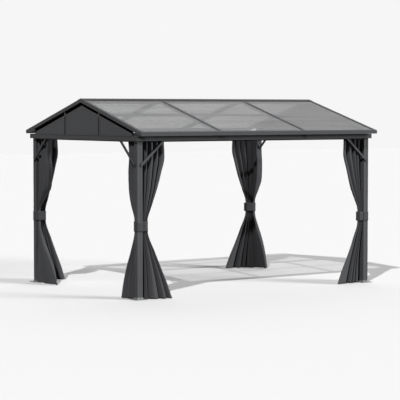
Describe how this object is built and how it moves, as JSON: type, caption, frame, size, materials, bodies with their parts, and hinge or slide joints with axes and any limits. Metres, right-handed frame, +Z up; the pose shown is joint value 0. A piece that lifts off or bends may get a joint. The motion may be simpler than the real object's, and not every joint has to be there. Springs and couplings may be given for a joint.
{
  "type": "metal gazebo",
  "caption": "Open rectangular gazebo: grooved metal posts on bolted plates, knee braces, low gable roof of translucent sheets in slotted rafters, curtains tied to the posts.",
  "frame": {"origin": "on the ground under the middle of the ridge, at the centre of the four posts", "axes": "+X along the ridge to the right, +Y across the gables to the back, +Z up"},
  "size_m": [3.876, 3, 2.5419],
  "materials": {
    "frame": "satin powder coat, dark grey",
    "trim": "satin powder coat, dark grey",
    "plate": "pale grey coated steel plate",
    "roof_sheet": "smoke-grey translucent sheet",
    "curtain": "matt woven cloth, dark grey",
    "tie": "woven band, dark grey"
  },
  "bodies": {
    "root": {"base_plate_front_left": "plate", "post_front_left": "frame", "corner_front_left": "trim", "braces_front_left": "frame", "curtains_front_left": "curtain", "base_plate_front_right": "plate", "post_front_right": "frame", "corner_front_right": "trim", "braces_front_right": "frame", "curtains_front_right": "curtain", "base_plate_back_left": "plate", "post_back_left": "frame", "corner_back_left": "trim", "braces_back_left": "frame", "curtains_back_left": "curtain", "base_plate_back_right": "plate", "post_back_right": "frame", "corner_back_right": "trim", "braces_back_right": "frame", "curtains_back_right": "curtain", "front_beam": "frame", "back_beam": "frame", "left_beam": "frame", "right_beam": "frame", "long_curtain_rails": "trim", "cross_curtain_rails": "trim", "curtain_ties": "tie", "rafter_shoes": "trim", "left_verge_rafters": "frame", "left_inner_rafters": "frame", "right_inner_rafters": "frame", "right_verge_rafters": "frame", "ridge_beam": "frame", "ridge_cap": "trim", "front_eave_rail": "trim", "back_eave_rail": "trim", "front_purlins": "frame", "back_purlins": "frame", "front_roof_sheets": "roof_sheet", "back_roof_sheets": "roof_sheet", "left_gable_mullions": "frame", "right_gable_mullions": "frame", "left_gable_sheets": "frame", "right_gable_sheets": "frame"}
  },
  "joints": []
}
